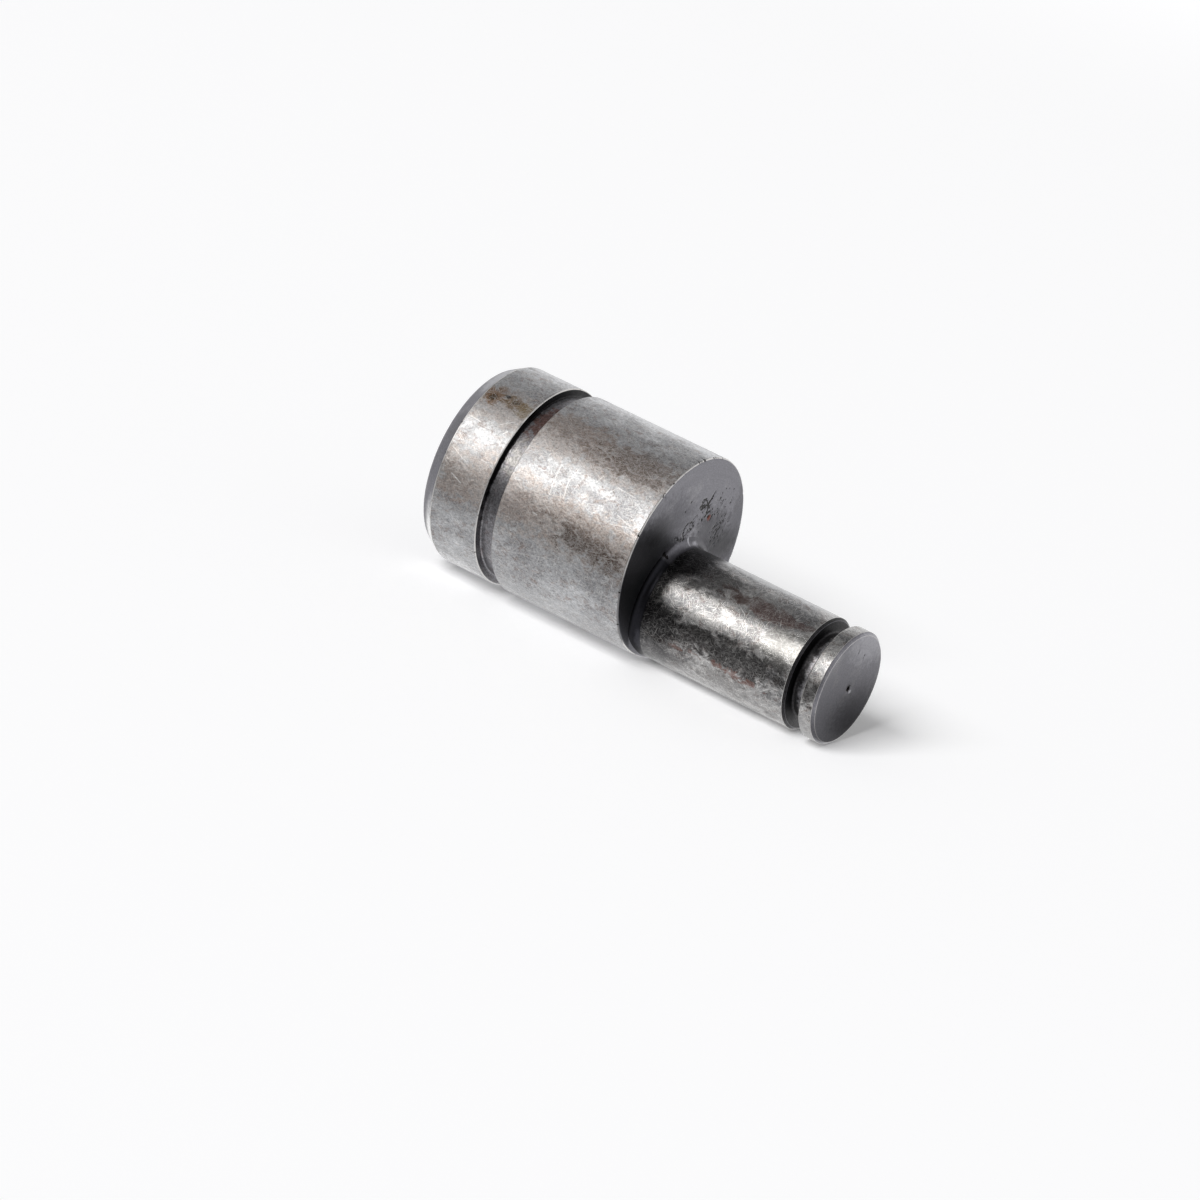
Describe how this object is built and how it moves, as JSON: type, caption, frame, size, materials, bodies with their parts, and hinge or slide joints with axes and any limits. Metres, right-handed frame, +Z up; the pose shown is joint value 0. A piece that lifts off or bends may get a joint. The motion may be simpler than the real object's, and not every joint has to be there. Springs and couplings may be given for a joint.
{
  "type": "eccentric pin",
  "caption": "Turned steel eccentric pin: a grooved journal with a tapered lead-in, and a smaller offset journal ending in a retaining-ring groove.",
  "frame": {"origin": "centre of the main journal's end face, on the main axis", "axes": "+X along the main axis, from the end face towards the small journal; +Z up, away from the small journal's offset"},
  "size_m": [0.0541, 0.025, 0.025],
  "materials": {
    "oxided_steel": "black-oxided, journals ground and worn grey"
  },
  "bodies": {
    "root": {"eccentric_pin": "oxided_steel"}
  },
  "joints": []
}
